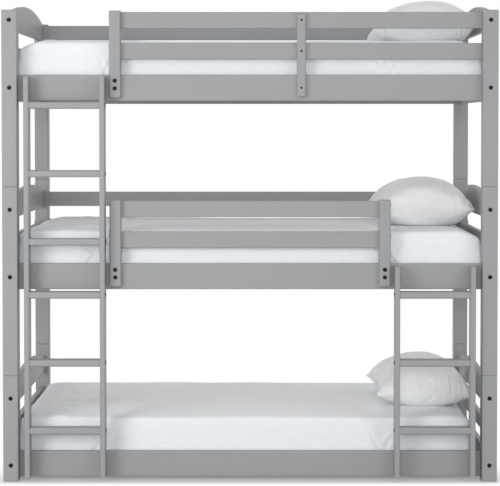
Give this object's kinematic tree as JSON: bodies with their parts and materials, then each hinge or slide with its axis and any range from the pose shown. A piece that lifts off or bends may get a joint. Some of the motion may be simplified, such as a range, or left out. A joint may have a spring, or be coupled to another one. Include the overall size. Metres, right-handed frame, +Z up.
{
  "type": "triple bunk bed",
  "caption": "Stacked bunk bed for sleepers on every tier: square painted wood posts, arched ends, slatted guards, two front ladders, slat bases, mattresses and pillows.",
  "frame": {"origin": "on the floor, at the middle of the bed's footprint", "axes": "+X along the bed to the pillow end, -Y to the front with the ladders, +Z up"},
  "size_m": [1.999, 1.1354, 1.9801],
  "materials": {
    "grey_paint": "satin grey paint, sprayed on solid pine",
    "bare_pine": "planed bare pine",
    "black_bolts": "black oxide steel",
    "zinc_steel": "bright zinc plate",
    "mattress_cover": "white woven cotton, fitted cover",
    "pillow_cover": "white woven cotton, plain seam"
  },
  "bodies": {
    "frame": {"back_left_lower_post": "grey_paint", "back_left_middle_post": "grey_paint", "back_left_upper_post": "grey_paint", "back_right_lower_post": "grey_paint", "back_right_middle_post": "grey_paint", "back_right_upper_post": "grey_paint", "barrel_nuts": "zinc_steel", "bottom_back_side_rail": "grey_paint", "bottom_bed_slats": "bare_pine", "bottom_front_side_rail": "grey_paint", "bottom_left_arched_rail": "grey_paint", "bottom_left_end_rails": "grey_paint", "bottom_right_arched_rail": "grey_paint", "bottom_right_end_rails": "grey_paint", "bottom_slat_ledgers": "bare_pine", "dowels": "bare_pine", "frame_bolts": "black_bolts", "front_left_lower_post": "grey_paint", "front_left_middle_post": "grey_paint", "front_left_upper_post": "grey_paint", "front_right_lower_post": "grey_paint", "front_right_middle_post": "grey_paint", "front_right_upper_post": "grey_paint", "guard_post_bolts": "black_bolts", "ladder_bolts": "black_bolts", "left_ladder_rungs": "grey_paint", "left_ladder_stiles": "grey_paint", "middle_back_guard_slats": "grey_paint", "middle_back_side_rail": "grey_paint", "middle_bed_slats": "bare_pine", "middle_front_guard_slats": "grey_paint", "middle_front_side_rail": "grey_paint", "middle_left_arched_rail": "grey_paint", "middle_left_end_rails": "grey_paint", "middle_left_guard_post": "grey_paint", "middle_right_arched_rail": "grey_paint", "middle_right_end_rails": "grey_paint", "middle_right_guard_post": "grey_paint", "middle_slat_ledgers": "bare_pine", "right_ladder_rungs": "grey_paint", "right_ladder_stiles": "grey_paint", "top_back_guard_slats": "grey_paint", "top_back_side_rail": "grey_paint", "top_bed_slats": "bare_pine", "top_front_guard_slats": "grey_paint", "top_front_side_rail": "grey_paint", "top_guard_batten": "grey_paint", "top_left_arched_rail": "grey_paint", "top_left_end_rails": "grey_paint", "top_left_guard_post": "grey_paint", "top_right_arched_rail": "grey_paint", "top_right_end_rails": "grey_paint", "top_slat_ledgers": "bare_pine", "wood_screws": "black_bolts"},
    "bottom_mattress": {"bottom_mattress": "mattress_cover"},
    "bottom_pillow": {"bottom_pillow": "pillow_cover"},
    "middle_mattress": {"middle_mattress": "mattress_cover"},
    "middle_pillow": {"middle_pillow": "pillow_cover"},
    "top_mattress": {"top_mattress": "mattress_cover"},
    "top_pillow": {"top_pillow": "pillow_cover"}
  },
  "joints": [
    {"name": "bottom_mattress_lift", "type": "slide", "parent": "frame", "child": "bottom_mattress", "axis": [0, 0, 1], "range_m": [0, 0.15]},
    {"name": "bottom_pillow_lift", "type": "slide", "parent": "bottom_mattress", "child": "bottom_pillow", "axis": [0, 0, 1], "range_m": [0, 0.15]},
    {"name": "middle_mattress_lift", "type": "slide", "parent": "frame", "child": "middle_mattress", "axis": [0, 0, 1], "range_m": [0, 0.15]},
    {"name": "middle_pillow_lift", "type": "slide", "parent": "middle_mattress", "child": "middle_pillow", "axis": [0, 0, 1], "range_m": [0, 0.15]},
    {"name": "top_mattress_lift", "type": "slide", "parent": "frame", "child": "top_mattress", "axis": [0, 0, 1], "range_m": [0, 0.3]},
    {"name": "top_pillow_lift", "type": "slide", "parent": "top_mattress", "child": "top_pillow", "axis": [0, 0, 1], "range_m": [0, 0.3]}
  ]
}
